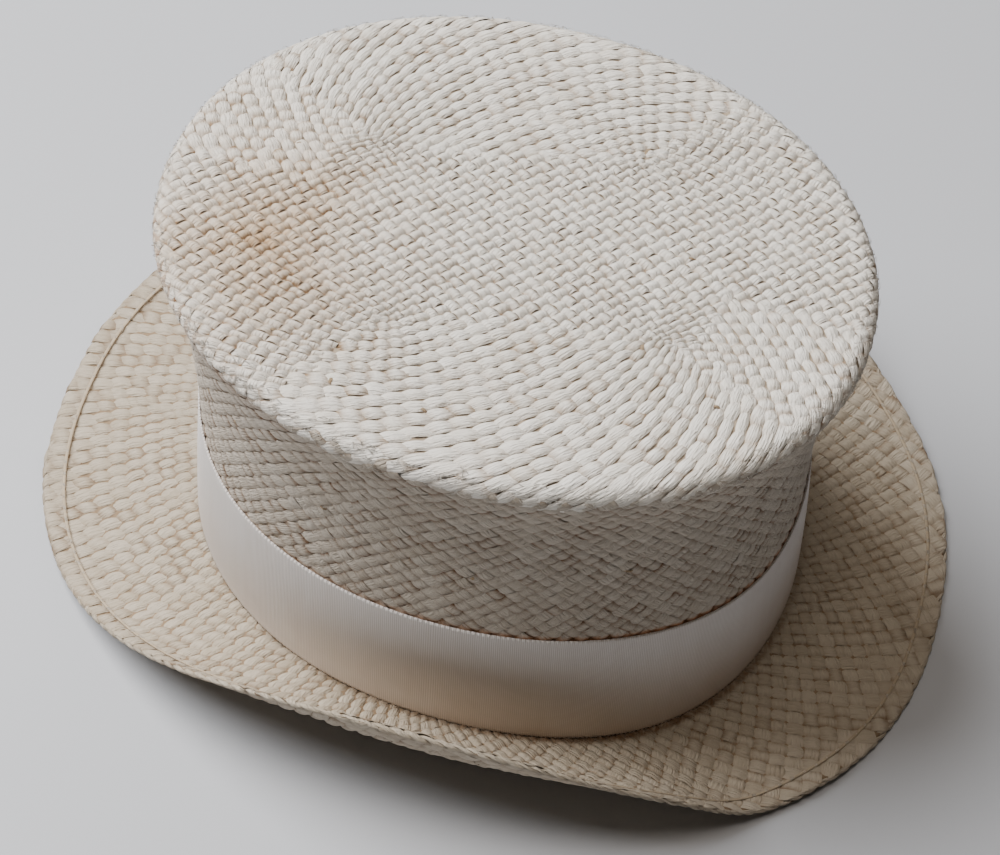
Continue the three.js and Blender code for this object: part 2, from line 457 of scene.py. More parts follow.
def straw_piece(name, floats, surface, material, rows, columns, swell, rope_swell, inward=False,
                marks_at=None, width=FLOAT_WIDTH, shade_gain=1.0, calm=None):
    """A mesh of straw floats: strips with rounded sides whose ends dip under their neighbours.

    A swell gives the rise of a float's middle over its ends, the roundness of its sides and its sinking. Floats
    in rows have one of their own. Where the weave is calmed, all three are less.
    """
    count = len(floats["place"])
    across = np.linspace(-1, 1, columns)
    across = np.sign(across) * np.abs(across) ** SIDE_CROWDING
    a, c = [g.ravel() for g in np.meshgrid(np.linspace(-1, 1, rows), across, indexing="ij")]
    draws = np.clip(RANDOM.normal(size=(count, 6)), -2, 2)
    wider, leaning, longer, higher, deeper, shifted = draws.T[..., None]
    half = floats["half"][:, None]
    in_row = half > PLAIN_HALF
    reach = half + np.where(in_row, ROPE_REACH, FLOAT_REACH)
    run = a[None] * reach * (1 + LENGTH_VARIES * longer) + PLACE_VARIES * shifted
    breadth = np.where(in_row, 1 - ROPE_TAPER * a ** 2, width)
    side = c[None] * 0.5 * breadth * (1 + WIDTH_VARIES * wider)
    lean = np.exp(1j * LEAN_VARIES * leaning)
    strand = floats["settle"](floats["away"][:, None] + (run + 1j * side) * floats["heading"][:, None] * lean)
    first = floats["stretch"][:, None] * strand
    second = floats["bend"][:, None] * strand ** 2
    limit = np.minimum(1, BEND_LIMIT * np.abs(first) / np.maximum(np.abs(second), TINY))
    z = floats["place"][:, None] + first + second * limit
    points = surface(z)
    step = SLOPE_STEP * floats["stretch"][:, None]
    normal = np.cross(surface(z + step) - points, surface(z + 1j * step) - points)
    normal /= np.maximum(np.linalg.norm(normal, axis=-1, keepdims=True), TINY)
    arch = np.cos(math.pi / 2 * np.clip(run / half, -ARCH_LIMIT, ARCH_LIMIT))
    dome = 1 - np.abs(c[None]) ** SIDE_POWER
    rise, roundness, sink = [np.where(in_row, r, s) for r, s in zip(rope_swell, swell)]
    height = rise * arch + roundness * dome - sink + HEIGHT_VARIES * higher
    if calm:
        height = height * calm(floats["place"])[:, None]
    points = points + normal * (height * (-1 if inward else 1))[..., None]
    # Painted shade: each float darkens towards its ends, where it dips under its neighbours, and along its
    # sides.
    painted_shading = np.clip(SHADE_MEAN + SHADE_VARIES * shifted, SHADE_LEAST, 1)
    painted_shade = shade_gain * (painted_shading * (1 - np.clip(arch, 0, 1)) + SIDE_SHADE * np.abs(c) ** SIDE_SHADE_POWER)
    tint = np.clip(0.5 + TINT_VARIES * deeper, 0, 1) + 0 * painted_shade
    stain, line = marks_at(points) if marks_at else (0 * painted_shade, 0 * painted_shade)
    # Stains deepen the painted shade, and the lines along the ribbon's edges join it.
    painted_shade = np.maximum(painted_shade * (1 + STAIN_DEEPENS * stain), line)
    slide = RANDOM.uniform(0, GRAIN_SPREAD, (count, 2))
    uv = np.stack([slide[:, :1] + run, slide[:, 1:] + side], -1)
    faces = patch_faces(count, rows, columns)
    cells = bake_cells(count, 0.5 + c / 2, 0.5 + a / 2)
    return new_piece(name, points, faces if inward else faces[:, ::-1], material, uv,
                     np.stack([tint, stain, painted_shade], -1), cells)


# Materials.

class Shade:
    """A socket of a material, with arithmetic on values that adds Math nodes."""

    def __init__(self, tree, socket):
        self.tree = tree
        self.socket = socket

    def math(self, operation, first, second):
        return add(self.tree, "ShaderNodeMath", {"operation": operation}, {0: first, 1: second})

    def __add__(self, other):
        return self.math("ADD", self, other)

    def __sub__(self, other):
        return self.math("SUBTRACT", self, other)

    def __mul__(self, other):
        return self.math("MULTIPLY", self, other)

    def __rsub__(self, other):
        return self.math("SUBTRACT", other, self)

    __radd__ = __add__
    __rmul__ = __mul__


def add(tree, kind, settings, sockets, output=0):
    """Adds a node of a kind, sets it up, then fills or links its sockets, and returns one of its outputs."""
    node = tree.nodes.new(kind)
    for name, value in settings.items():
        setattr(node, name, value)
    for name, value in sockets.items():
        if isinstance(value, Shade):
            tree.links.new(value.socket, node.inputs[name])
        else:
            node.inputs[name].default_value = value
    return Shade(tree, node.outputs[output]) if node.outputs else node


def colour(r, g, b):
    """A colour given as it looks on screen, from 0 to 255, turned to linear light."""
    channel = [x / 255 for x in (r, g, b)]
    return tuple(x / 12.92 if x <= 0.04045 else ((x + 0.055) / 1.055) ** 2.4 for x in channel) + (1.0,)


# The sockets of a Mix node that blend colours.
MIX_SHARE, MIX_FIRST, MIX_SECOND, MIX_RESULT = 0, 6, 7, 2


def blend(tree, share, first, second):
    sockets = {MIX_SHARE: share, MIX_FIRST: first, MIX_SECOND: second}
    return add(tree, "ShaderNodeMix", {"data_type": "RGBA"}, sockets, MIX_RESULT)


def noise(tree, vector, scale, detail, stretch=(1, 1, 1)):
    placed = add(tree, "ShaderNodeMapping", {"vector_type": "POINT"}, {"Vector": vector, "Scale": stretch})
    sockets = {"Vector": placed, "Scale": scale, "Detail": detail}
    return add(tree, "ShaderNodeTexNoise", {"noise_dimensions": "3D"}, sockets)


def read_marks(tree):
    """The three marks that a piece carries at its vertices."""
    marks = add(tree, "ShaderNodeAttribute", {"attribute_name": "marks"}, {})
    first = add(tree, "ShaderNodeSeparateColor", {"mode": "RGB"}, {"Color": marks})
    return [Shade(tree, socket) for socket in first.socket.node.outputs]


def bare_material(name):
    material = bpy.data.materials.new(name)
    material.use_nodes = True
    material.node_tree.nodes.clear()
    return material, material.node_tree


SPECULAR = 0.3


def close_material(tree, base, roughness, height, depth, sheen=0.0):
    """Ends a material with a matt shader and fine relief of a depth in millimetres."""
    bump = add(tree, "ShaderNodeBump", {}, {"Strength": 1.0, "Distance": depth * MM, "Height": height})
    shader = add(tree, "ShaderNodeBsdfPrincipled", {}, {
        "Base Color": base, "Roughness": roughness, "Normal": bump,
        "Specular IOR Level": SPECULAR, "Sheen Weight": sheen,
    })
    add(tree, "ShaderNodeOutputMaterial", {}, {"Surface": shader})


def straw_material(name, pale, deep, shade_colour, stain_colour):
    """Dried straw strips: streaks along each strip, its own tint, painted shade in the creases and stained
    patches.
    """
    material, tree = bare_material(name)
    strand = add(tree, "ShaderNodeUVMap", {"uv_map": "strand"}, {})
    tint, stain, painted_shade = read_marks(tree)
    fibre = noise(tree, strand, 1.0, 4.0, (1.1, 7.0, 1))
    fleck = noise(tree, strand, 2.1, 3.0, (0.6, 1.4, 1))
    streak = tint * 0.55 + fibre * 0.8 + fleck * 0.3 - 0.6
    base = blend(tree, add(tree, "ShaderNodeClamp", {}, {"Value": streak}), pale, deep)
    base = blend(tree, stain * (0.15 + 0.9 * fleck), base, stain_colour)
    # Painted shade: the creases turn towards the shade colour.
    shade_in_gaps = painted_shade * (0.1 + 1.3 * fleck)
    base = blend(tree, add(tree, "ShaderNodeClamp", {}, {"Value": shade_in_gaps}), base, shade_colour)
    close_material(tree, base, 0.66 + 0.25 * fibre, fibre + fleck * 0.6, 0.9, sheen=0.05)
    return material


def shell_material(name, pale, deep):
    """A plain grainy straw: the layer seen in the gaps between strips, and the welt."""
    material, tree = bare_material(name)
    place = add(tree, "ShaderNodeTexCoord", {}, {}, "Object")
    grain = noise(tree, place, 700.0, 4.0)
    cloud = noise(tree, place, 40.0, 2.0)
    base = blend(tree, 0.6 * grain + 0.4 * cloud, pale, deep)
    close_material(tree, base, 0.8 + 0.15 * grain, grain, 0.2)
    return material


def ribbon_material():
    """Ribbed ribbon: fine threads over each rib, a warmer lower edge, and faint clouding.

    Painted shade darkens the valleys between ribs and makes the lower edge warmer.
    """
    material, tree = bare_material("cream_ribbon")
    strand = add(tree, "ShaderNodeUVMap", {"uv_map": "strand"}, {})
    rib_valley_shade, painted_warm_shade, _ = read_marks(tree)
    thread = noise(tree, strand, 6.0, 2.0, (1.0, 0.5, 1))
    cloud = noise(tree, strand, 0.05, 3.0)
    streak = noise(tree, strand, 1.0, 3.0, (0.35, 0.012, 1))
    shade = 0.5 * cloud + 0.3 * thread + 0.6 * streak - 0.3
    base = blend(tree, shade, colour(242, 237, 233), colour(224, 215, 207))
    # Painted shade, warmed as by bounce light off the brim, low on the ribbon.
    base = blend(tree, painted_warm_shade * (0.5 + 0.5 * cloud), base, colour(202, 176, 148))
    # Painted shade in the valleys between ribs.
    base = blend(tree, 0.5 * rib_valley_shade, base, colour(158, 142, 124))
    close_material(tree, base, 0.5 + 0.2 * thread, thread, 0.08, sheen=0.15)
    return material


def floor_material():
    material, tree = bare_material("pale_floor")
    place = add(tree, "ShaderNodeTexCoord", {}, {}, "Object")
    cloud = noise(tree, place, 3.0, 3.0)
    base = blend(tree, cloud, colour(205, 206, 209), colour(196, 197, 200))
    close_material(tree, base, 0.34 + 0.08 * cloud, cloud, 0.02)
    return material


# Straw is pale and deep by streaks, then brown where it is stained, and brown in creases: painted shade there.
CROWN_STRAW = straw_material("crown_straw", colour(246, 240, 229), colour(226, 215, 197),
                             colour(154, 124, 92), colour(206, 170, 128))
# The wall's straw is the top's made darker, painted shade for the wall below the rim, and yellower.
WALL_SHADED_STRAW = straw_material("wall_shaded_straw", colour(203, 192, 176), colour(175, 160, 140),
                            colour(116, 82, 50), colour(186, 124, 74))
BRIM_STRAW = straw_material("brim_straw", colour(201, 188, 168), colour(175, 158, 134),
                            colour(122, 93, 64), colour(200, 168, 128))
# The layers in the gaps are darker than the strips over them: painted shade in the gaps.
CROWN_GAP_SHADE = shell_material("crown_gap_shade", colour(190, 174, 153), colour(142, 121, 97))
BRIM_GAP_SHADE = shell_material("brim_gap_shade", colour(166, 144, 116), colour(120, 97, 73))
WELT_STRAW = shell_material("welt_straw", colour(200, 184, 160), colour(172, 152, 126))
THREAD = straw_material("stitch_thread", colour(218, 206, 188), colour(202, 186, 163),
                        colour(150, 122, 92), colour(206, 172, 132))
END_STRAW = straw_material("end_straw", colour(206, 180, 146), colour(158, 122, 84),
                           colour(104, 72, 44), colour(170, 134, 94))
CREAM_RIBBON = ribbon_material()


# The pieces.

def join_to_hat(piece, node):
    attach(piece, "root")
    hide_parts(node)


def ring_shell(name, rings, material):
    """A body through rings of points."""
    rings = np.stack(rings)
    return new_piece(name, rings, grid_faces(*rings.shape[:2], wrap=True)[:, ::-1], material)


# The shell under the floats: its columns, its rings over the top, the wall, the brim and the top's rounded edge,
# how deep it lies below the wall's face, the top's and the brim's lower one, where the second gives way to the
# first, and how far it ends short of the brim's edge.
SHELL_ANGLES = np.linspace(0, TURN, 240, endpoint=False)
TOP_RINGS, WALL_RINGS, BRIM_RINGS = 12, 40, 26
TOP_RING_INSET = 0.001
EDGE_TRAVELS = (0, 2, 4, 6)
GAP_DEPTH = 0.45
TOP_GAP_DEPTH = 0.75
UNDER_GAP_DEPTH = 1.0
GAP_CHANGE = (0.97, 1.06)
BRIM_SHELL_INSET = 1.5

# The swell of the floats: rise of the middle, roundness of the sides and sinking.
TOP_SWELL = (1.2, 0.5, 1.06)
WALL_SWELL = (0.44, 0.3, 0.47)
BRIM_SWELL = (0.66, 0.42, 0.72)
TOP_ROPE_SWELL = (0.62, 0.8, 0.94)
WALL_ROPE_SWELL = (0.3, 0.3, 0.4)
BRIM_ROPE_SWELL = (0.58, 0.66, 0.85)


def crown_shell():
    """The smooth wall under the floats, from the top's middle outside to its middle inside."""
    wall_travels = np.linspace(EDGE_ARC, EDGE_ARC + LEVEL[-1] - LEVEL[0], WALL_RINGS)
    top_radii = np.linspace(TOP_RING_INSET, FLAT_SHARE - TOP_RING_INSET, TOP_RINGS)
    radii = np.concatenate([top_radii, disc_radius(np.concatenate([EDGE_TRAVELS, wall_travels]))])
    ring = np.exp(1j * SHELL_ANGLES)
    depths = np.interp(radii, GAP_CHANGE, (TOP_GAP_DEPTH, GAP_DEPTH))
    outer = [crown_surface(r * ring, depth) for r, depth in zip(radii, depths)]
    inner = [crown_surface(r * ring, STRAW - GAP_DEPTH) for r in radii[::-1]]
    join_to_hat(ring_shell("crown_shell", outer + inner, CROWN_GAP_SHADE), "crown")


# The stain on the top: its place from the top's middle, its size, how its rim wavers, the strength and reach of
# its body, heart and halo, and how far down it goes.
STAIN_PLACE = np.array([-69.0, -24.0])
STAIN_SIZE = np.array([30.0, 36.0])
STAIN_WAVES = ((0.14, 3, 1), (0.1, 5, 0))
STAIN_BODY, BODY_REACH = 0.8, 1.1
STAIN_HEART, HEART_REACH = 0.35, 0.22
STAIN_HALO, HALO_REACH = 0.3, 1.9
STAIN_DEPTH = 12

# The brown lines at the ribbon's lower and upper edges, the lower painted shadow and the upper part stain and
# part painted shade: angle and spread in degrees and strength, the distances over which each fades, and how much
# of the upper one is painted shade in the creases.
FOOT_SHADE = (-55.0, 60.0, 1.2)
FOOT_FADE = (1.6, 3.6)
BAND_STAIN_AND_SHADE = (-45.0, 65.0, 1.6)
BAND_FADE = (0.5, 1.9)
BAND_SHADE_SHARE = 0.2

# Where the top's weave ends and the wall's starts, the rows of the wall, how far its weave runs on behind the
# ribbon outside and stops short of the foot inside, how much darker its painted crease shade is, and how the
# top's weave is calmed towards its rim.
TOP_EDGE = 1.035
WALL_START = EDGE_ARC - 0.9
WALL_ROWS = (math.radians(195), math.radians(249), False, ROPE_LENGTH)
WALL_MARGIN = 2
WALL_SHADE_GAIN = 1.25
RIM_CALM, RIM_CALM_RANGE = 0.62, (0.9, 1.0)

# The row of the crown's table that lies nearest to the ribbon's upper edge.
BAND_ROW = 2


def crown_stain_and_shade(points):
    """The stain on the top, and the line along the ribbon: part stain, part painted shade in the creases."""
    away = (points[..., :2] - TOP_MIDDLE - STAIN_PLACE) / STAIN_SIZE
    bearing = np.arctan2(away[..., 1], away[..., 0])
    uneven = 1 + sum(size * np.sin(often * bearing + start) for size, often, start in STAIN_WAVES)
    reach = np.hypot(away[..., 0], away[..., 1])
    patch = STAIN_BODY * np.clip(BODY_REACH - reach * uneven, 0, 1)
    patch += STAIN_HEART * np.clip(1 - reach / HEART_REACH, 0, 1)
    patch += STAIN_HALO * np.clip(HALO_REACH - reach, 0, 1)
    patch *= points[..., 2] > CROWN_TOP - STAIN_DEPTH
    angle = oval_angle(points)
    level = band_top(angle)
    line = 1 - smooth_step(points[..., 2] - level - foot_dip(angle, level), *BAND_FADE)
    # The line is part stain and part painted shade in the creases.
    stain_and_shade_line = sag(BAND_STAIN_AND_SHADE, angle) * line
    return patch + stain_and_shade_line, BAND_SHADE_SHARE * stain_and_shade_line


def oval_angle(points):
    """The angle at which each point of the crown's wall lies."""
    x = (points[..., 0] - LEAN_X[BAND_ROW]) / HALF_LENGTH[BAND_ROW]
    y = (points[..., 1] - LEAN_Y[BAND_ROW]) / HALF_WIDTH[BAND_ROW]
    return np.arctan2(y, x)


def brim_foot_shade(points):
    """Painted shadow: a dark line in the creases where the brim meets the ribbon."""
    x = (points[..., 0] - LEAN_X[0]) / HALF_LENGTH[0]
    y = (points[..., 1] - LEAN_Y[0]) / HALF_WIDTH[0]
    away = ((np.abs(x) ** CROWN_OVAL + np.abs(y) ** CROWN_OVAL) ** (1 / CROWN_OVAL) - 1) * HALF_WIDTH[0]
    return 0 * away, sag(FOOT_SHADE, np.arctan2(y, x)) * (1 - smooth_step(away, *FOOT_FADE))


def wall_surface(z, inset=0.0):
    """The crown's wall on a chart of angle and of distance down from the top's edge."""
    return crown_surface(disc_radius(WALL_START - z.imag * WALL_RADIUS) * np.exp(1j * z.real), inset)


def rim_calm(z):
    """The weave lies flatter where it turns over the rim of the top."""
    return 1 - RIM_CALM * smooth_step(np.abs(z), *RIM_CALM_RANGE)


def crown_inside(z):
    return crown_surface(z, STRAW)


def wall_inside(z):
    return wall_surface(z, STRAW)


def wall_depth(level):
    """How deep a level of the wall lies on its chart."""
    return (EDGE_ARC + LEVEL[-1] - level - WALL_START) / WALL_RADIUS


def crown_weave():
    top = top_floats(WhorlField(), TOP_EDGE)
    wall = ring_floats(WALL_STRANDS, wall_depth(BAND_TOP - BAND_SAG[2] - WALL_MARGIN), *WALL_ROWS)
    whole_wall = ring_floats(WALL_STRANDS, wall_depth(LEVEL[0] + WALL_MARGIN), *WALL_ROWS)
    for name, floats, surface, straw, rows, columns, swell, rope_swell, inward in (
        ("crown_top_weave", top, crown_surface, CROWN_STRAW, 8, 6, TOP_SWELL, TOP_ROPE_SWELL, False),
        ("crown_wall_weave", wall, wall_surface, WALL_SHADED_STRAW, 7, 6, WALL_SWELL, WALL_ROPE_SWELL, False),
        ("crown_top_inside", top, crown_inside, CROWN_STRAW, 5, 4, WALL_SWELL, WALL_ROPE_SWELL, True),
        ("crown_wall_inside", whole_wall, wall_inside, WALL_SHADED_STRAW, 5, 4, WALL_SWELL, WALL_ROPE_SWELL, True),
    ):
        piece = straw_piece(name, floats, surface, straw, rows, columns, swell, rope_swell, inward,
                            None if inward else crown_stain_and_shade, shade_gain=1.0 if floats is top else WALL_SHADE_GAIN,
                            calm=rim_calm if floats is top else None)
        join_to_hat(piece, "crown")


def brim_shell():
    """The smooth layer under the brim's floats, closed round its edge."""
    shares = np.linspace(0, 1, BRIM_RINGS)[:, None] * edge_share(SHELL_ANGLES, BRIM_SHELL_INSET)
    upper = [brim_surface(SHELL_ANGLES, s, GAP_DEPTH - hem_rise(SHELL_ANGLES, s)) for s in shares]
    lower = [brim_surface(SHELL_ANGLES, s, np.full_like(s, STRAW - UNDER_GAP_DEPTH)) for s in shares[::-1]]
    join_to_hat(ring_shell("brim_shell", upper + lower + upper[:1], BRIM_GAP_SHADE), "brim")


# The brim's chart: how much its strands spread from foot to edge, over which width, where its lip starts and
# how far strips go on past that, its rows, and the depth of its lower floats. The weave is calmed towards the
# hem, which rises over a short ramp.
BRIM_GROWTH = 0.44
BRIM_SPAN = 54.0
LIP_WIDTH = 0.8
PAST_EDGE = 0.12
BRIM_ROWS = (math.radians(140), math.radians(262), True, BRIM_ROPE_LENGTH)
UNDER_DEPTH = 0.5
HEM_RAMP = 1.5
HEM_CALM, HEM_CALM_RANGE = 0.45, (0.72, 0.86)
EDGE_SAMPLES = 2881


def edge_share(angle, distance):
    """The share of the brim's section at a distance in from its edge."""
    foot, _, _, edge, _ = brim_section(angle)
    return 1 - distance / (3 * SECTION_PULL * np.linalg.norm(edge - foot, axis=-1))


def edge_table():
    """Angles of the brim and the share of its edge's length that lies before each."""
    angles = np.linspace(-math.pi, math.pi, EDGE_SAMPLES)
    edge = brim_section(angles)[3]
    length = np.concatenate([[0], np.cumsum(np.linalg.norm(np.diff(edge, axis=0), axis=1))])
    return angles, (length / length[-1] - 0.5) * TURN


EDGE_ANGLES, EDGE_TURNS = edge_table()


# How far along its section the brim has gone at each share of its curve.
EVEN_SHARE = np.linspace(0, 1, 41)
EVEN_PULL = SECTION_PULL + EVEN_SHARE * (1 - 2 * SECTION_PULL)
EVEN_REACH = EVEN_SHARE * (3 * (1 - EVEN_SHARE) * EVEN_PULL + EVEN_SHARE ** 2)


def even_angle(turn):
    """The brim's angle at an even turn along its edge."""
    whole = np.floor(turn / TURN + 0.5) * TURN
    return np.interp(turn - whole, EDGE_TURNS, EDGE_ANGLES) + whole


def brim_reach(z):
    """How far out a place on the brim's chart lies, 1 at its edge.

    Strips keep their width where the brim is narrow.
    """
    foot, _, _, edge, _ = brim_section(even_angle(z.real))
    return (np.exp(-z.imag) - 1) / BRIM_GROWTH * BRIM_SPAN / np.linalg.norm(edge - foot, axis=-1)


def brim_place(z):
    """Angle and share of the way out on a chart of even turn and of distance out."""
    angle = even_angle(z.real)
    reach = brim_reach(z)
    inside = np.clip(reach, 0, 1)
    share = np.interp(inside, EVEN_REACH, EVEN_SHARE) + PAST_EDGE * (reach - inside)
    return angle, share * edge_share(angle, LIP_WIDTH)


def hem_rise(angle, share):
    """How far the brim's upper face is raised by its hem."""
    start, stop = edge_share(angle, HEM_WIDTH), edge_share(angle, HEM_WIDTH - HEM_RAMP)
    return HEM_STEP * smooth_step(share, start, stop)


def brim_upper(z):
    """The brim's upper face from its foot to its edge, with the hem's step."""
    angle, share = brim_place(z)
    return brim_surface(angle, share, -hem_rise(angle, share))


def brim_lower(z):
    angle, share = brim_place(z)
    return brim_surface(angle, share, np.full(z.shape, STRAW - UNDER_DEPTH))


def edge_calm(z):
    """The weave lies flatter where it is folded into the hem."""
    return 1 - HEM_CALM * smooth_step(brim_reach(z), *HEM_CALM_RANGE)


def brim_weave():
    floats = ring_floats(BRIM_STRANDS, math.log(1 + BRIM_GROWTH), *BRIM_ROWS)
    inside = brim_reach(floats["place"]) < 1
    floats = {key: value if callable(value) else value[inside] for key, value in floats.items()}
    for name, surface, inward, rows, columns in (
        ("brim_top_weave", brim_upper, False, 8, 6),
        ("brim_under_weave", brim_lower, True, 6, 5),
    ):
        piece = straw_piece(name, floats, surface, BRIM_STRAW, rows, columns, BRIM_SWELL, BRIM_ROPE_SWELL,
                            inward, None if inward else brim_foot_shade, calm=edge_calm)
        join_to_hat(piece, "brim")


# The hem: a narrow welt at its inner line with stitches along it, and slanting wraps round the brim's lip.
EDGE_MEAN = 134.0
LIP_WRAPS = 190
WRAP_SLANT = math.radians(54)
# The wraps' width, and how dark the painted shade at their ends and sides is.
WRAP_WIDTH, WRAP_SHADE_GAIN = 1.12, 0.4
WRAP_SWELL = (0.4, 0.55, 0.95)
LIP_COVER = 2.4
LIP_ROUND = (STRAW + HEM_STEP) / 2
WELT_ANGLES = np.linspace(0, TURN, 420, endpoint=False)
WELT_SIDES = 12
WELT_LINE = HEM_WIDTH - 0.4
WELT_DEPTH = -HEM_STEP - 0.15
WELT_HALF_WIDTH, WELT_HALF_HEIGHT = 0.6, 0.26
WELT_BUMP, WELT_BUMPS = 0.06, 61
STITCHES = 190
STITCH_LENGTH, STITCH_WIDTH = 2.3, 0.55
STITCH_SLANT = 0.15
STITCH_DEPTH = -HEM_STEP - 0.3
STITCH_SWELL = (0.3, 0.25, 0.3)


def lip_surface(z):
    """The brim's lip on a chart of angle and distance over it, from its upper face round to its lower one."""
    travel = -z.imag * EDGE_MEAN
    flat = LIP_COVER - LIP_ROUND
    turn = np.clip((travel - flat) / LIP_ROUND, 0, math.pi)
    under = np.maximum(travel - flat - math.pi * LIP_ROUND, 0)
    distance = np.where(travel < flat, LIP_COVER - travel, LIP_ROUND - LIP_ROUND * np.sin(turn) + under)
    depth = LIP_ROUND - HEM_STEP - LIP_ROUND * np.cos(turn)
    angle = even_angle(z.real)
    return brim_surface(angle, edge_share(angle, distance), depth)


def welt_ring(side):
    """One line along the hem's welt, at an angle round its section."""
    distance = np.full_like(WELT_ANGLES, WELT_LINE + WELT_HALF_WIDTH * math.cos(side))
    depth = np.full_like(WELT_ANGLES, WELT_DEPTH + WELT_HALF_HEIGHT * math.sin(side))
    depth += WELT_BUMP * np.sin(WELT_BUMPS * WELT_ANGLES)
    return brim_surface(WELT_ANGLES, edge_share(WELT_ANGLES, distance), depth)


def welt_top(z):
    """The welt's upper side on a chart of angle and distance across it."""
    distance = np.full(z.shape, WELT_LINE) + z.imag * EDGE_MEAN
    angle = even_angle(z.real)
    return brim_surface(angle, edge_share(angle, distance), np.full(z.shape, STITCH_DEPTH))


def hem():
    length = 2 * (LIP_COVER - LIP_ROUND) + math.pi * LIP_ROUND
    pitch = TURN * EDGE_MEAN / LIP_WRAPS * math.cos(WRAP_SLANT)
    places = np.linspace(0, TURN, LIP_WRAPS, endpoint=False) - 0.5j * length / EDGE_MEAN
    half = length / 2 / pitch / math.cos(WRAP_SLANT)
    wraps = strips(places, 1j * np.exp(1j * WRAP_SLANT), half, pitch / EDGE_MEAN)
    piece = straw_piece("lip_wraps", wraps, lip_surface, BRIM_STRAW, 16, 7, WRAP_SWELL, WRAP_SWELL,
                        width=WRAP_WIDTH, shade_gain=WRAP_SHADE_GAIN)
    join_to_hat(piece, "brim")

    rings = [welt_ring(side) for side in np.linspace(0, TURN, WELT_SIDES, endpoint=False)]
    join_to_hat(ring_shell("hem_welt", rings + rings[:1], WELT_STRAW), "brim")

    places = np.linspace(0, TURN, STITCHES, endpoint=False)
    stitches = strips(places, np.exp(1j * STITCH_SLANT), STITCH_LENGTH / 2, 1 / EDGE_MEAN)
    piece = straw_piece("hem_stitches", stitches, welt_top, THREAD, 7, 5, STITCH_SWELL, STITCH_SWELL,
                        width=STITCH_WIDTH)
    join_to_hat(piece, "brim")


# Ends of strands that were joined in while weaving: places on the crown's top from its middle, and on its wall
# as an angle in degrees and a level. Half lengths and width are in strands, with this many to a radius.
TOP_ENDS = ((-56.2, -54.2), (-35.1, -66.2), (-8.7, -68.3), (67.1, -41.1), (27.3, 44.7), (49.3, 7.6),
            (-29.5, 21.2), (-70.1, 13.5), (-41.5, 15.0), (42.8, -27.8))
WALL_ENDS = ((-142, 104), (-131, 108), (-110, 99), (-57, 96), (-84, 90))
END_STRANDS = 93
END_HALF = (0.7, 1.2)
END_WIDTH = 0.8
END_SWELL = (0.35, 0.12, 0.1)


def straw_ends():
    top = [complex(x / HALF_LENGTH[-1], y / HALF_WIDTH[-1]) for x, y in TOP_ENDS]
    wall = [
        disc_radius(EDGE_ARC + LEVEL[-1] - level) * np.exp(1j * math.radians(angle))
        for angle, level in WALL_ENDS
    ]
    places = np.array(top + wall)
    count = len(places)
    size = np.abs(places).clip(FLAT_SHARE) / END_STRANDS
    heading = np.exp(1j * RANDOM.uniform(0, TURN, count))
    ends = strips(places, heading, RANDOM.uniform(*END_HALF, count), size)
    piece = straw_piece("straw_ends", ends, crown_surface, END_STRAW, 7, 5, END_SWELL, END_SWELL,
                        width=END_WIDTH)
    join_to_hat(piece, "crown")


# Fine frayed fibres that stand up along the rim of the top, spread to both sides of it and turned a little.
# Their half lengths are in widths of a fibre.
WHISKERS = 900
WHISKER_WIDTH = 0.2
WHISKER_SPREAD, WHISKER_TURN = 2.2, 0.6
WHISKER_HALF = (4, 10)
# How dark the painted shade at the fibres' ends and sides is.
WHISKER_SHADE_GAIN = 0.3
WHISKER_SWELL = (1.0, 0.05, 0.3)


def rim_whiskers():
    angles = RANDOM.uniform(0, TURN, WHISKERS)
    places = disc_radius(RANDOM.normal(EDGE_RADIUS, WHISKER_SPREAD, WHISKERS)) * np.exp(1j * angles)
    heading = np.exp(1j * (angles + TURN / 4 + RANDOM.normal(0, WHISKER_TURN, WHISKERS)))
    half = RANDOM.uniform(*WHISKER_HALF, WHISKERS)
    whiskers = strips(places, heading, half, WHISKER_WIDTH / HALF_LENGTH[-1])
    piece = straw_piece("rim_whiskers", whiskers, crown_surface, CROWN_STRAW, 6, 3, WHISKER_SWELL,
                        WHISKER_SWELL, shade_gain=WHISKER_SHADE_GAIN)
    join_to_hat(piece, "crown")


# The ribbon: its ribs, which are lower along its edges, and its scallops, which keep close to them.
RIBS, RIB_COLUMNS = 1000, 4
RIB_HEIGHT, EDGE_RIB = 0.12, 0.4
PICOTS, PICOT_HEIGHT, PICOT_POWER = 420, 0.3, 61
RIM_POWER = 10

# Its rows from edge to edge, its length, its faint waves, its front as a share of its thickness, how much it
# bulges, and its back as a share of the clearance.
RIBBON_ROWS = 12
RIBBON_SHARES = np.concatenate([[0, 0.02], np.linspace(0.1, 0.9, RIBBON_ROWS - 4), [0.98, 1]])
RIBBON_LENGTH = 592.0
RIBBON_WAVES = ((0.18, 5, 1), (0.14, 11, 2))
WAVE_HEIGHT = 0.25
RIBBON_FRONT, RIBBON_BULGE, RIBBON_BACK = 0.55, 0.06, 0.7

# Its painted warm shade, as of light bounced off the brim, up to a share of its width: angle and spread in
# degrees and strength, and the least of it.
RIBBON_WARM_SHADE = (-35.0, 60.0, 1.0)
WARM_SHARE, WARM_LEAST = 0.8, 0.35


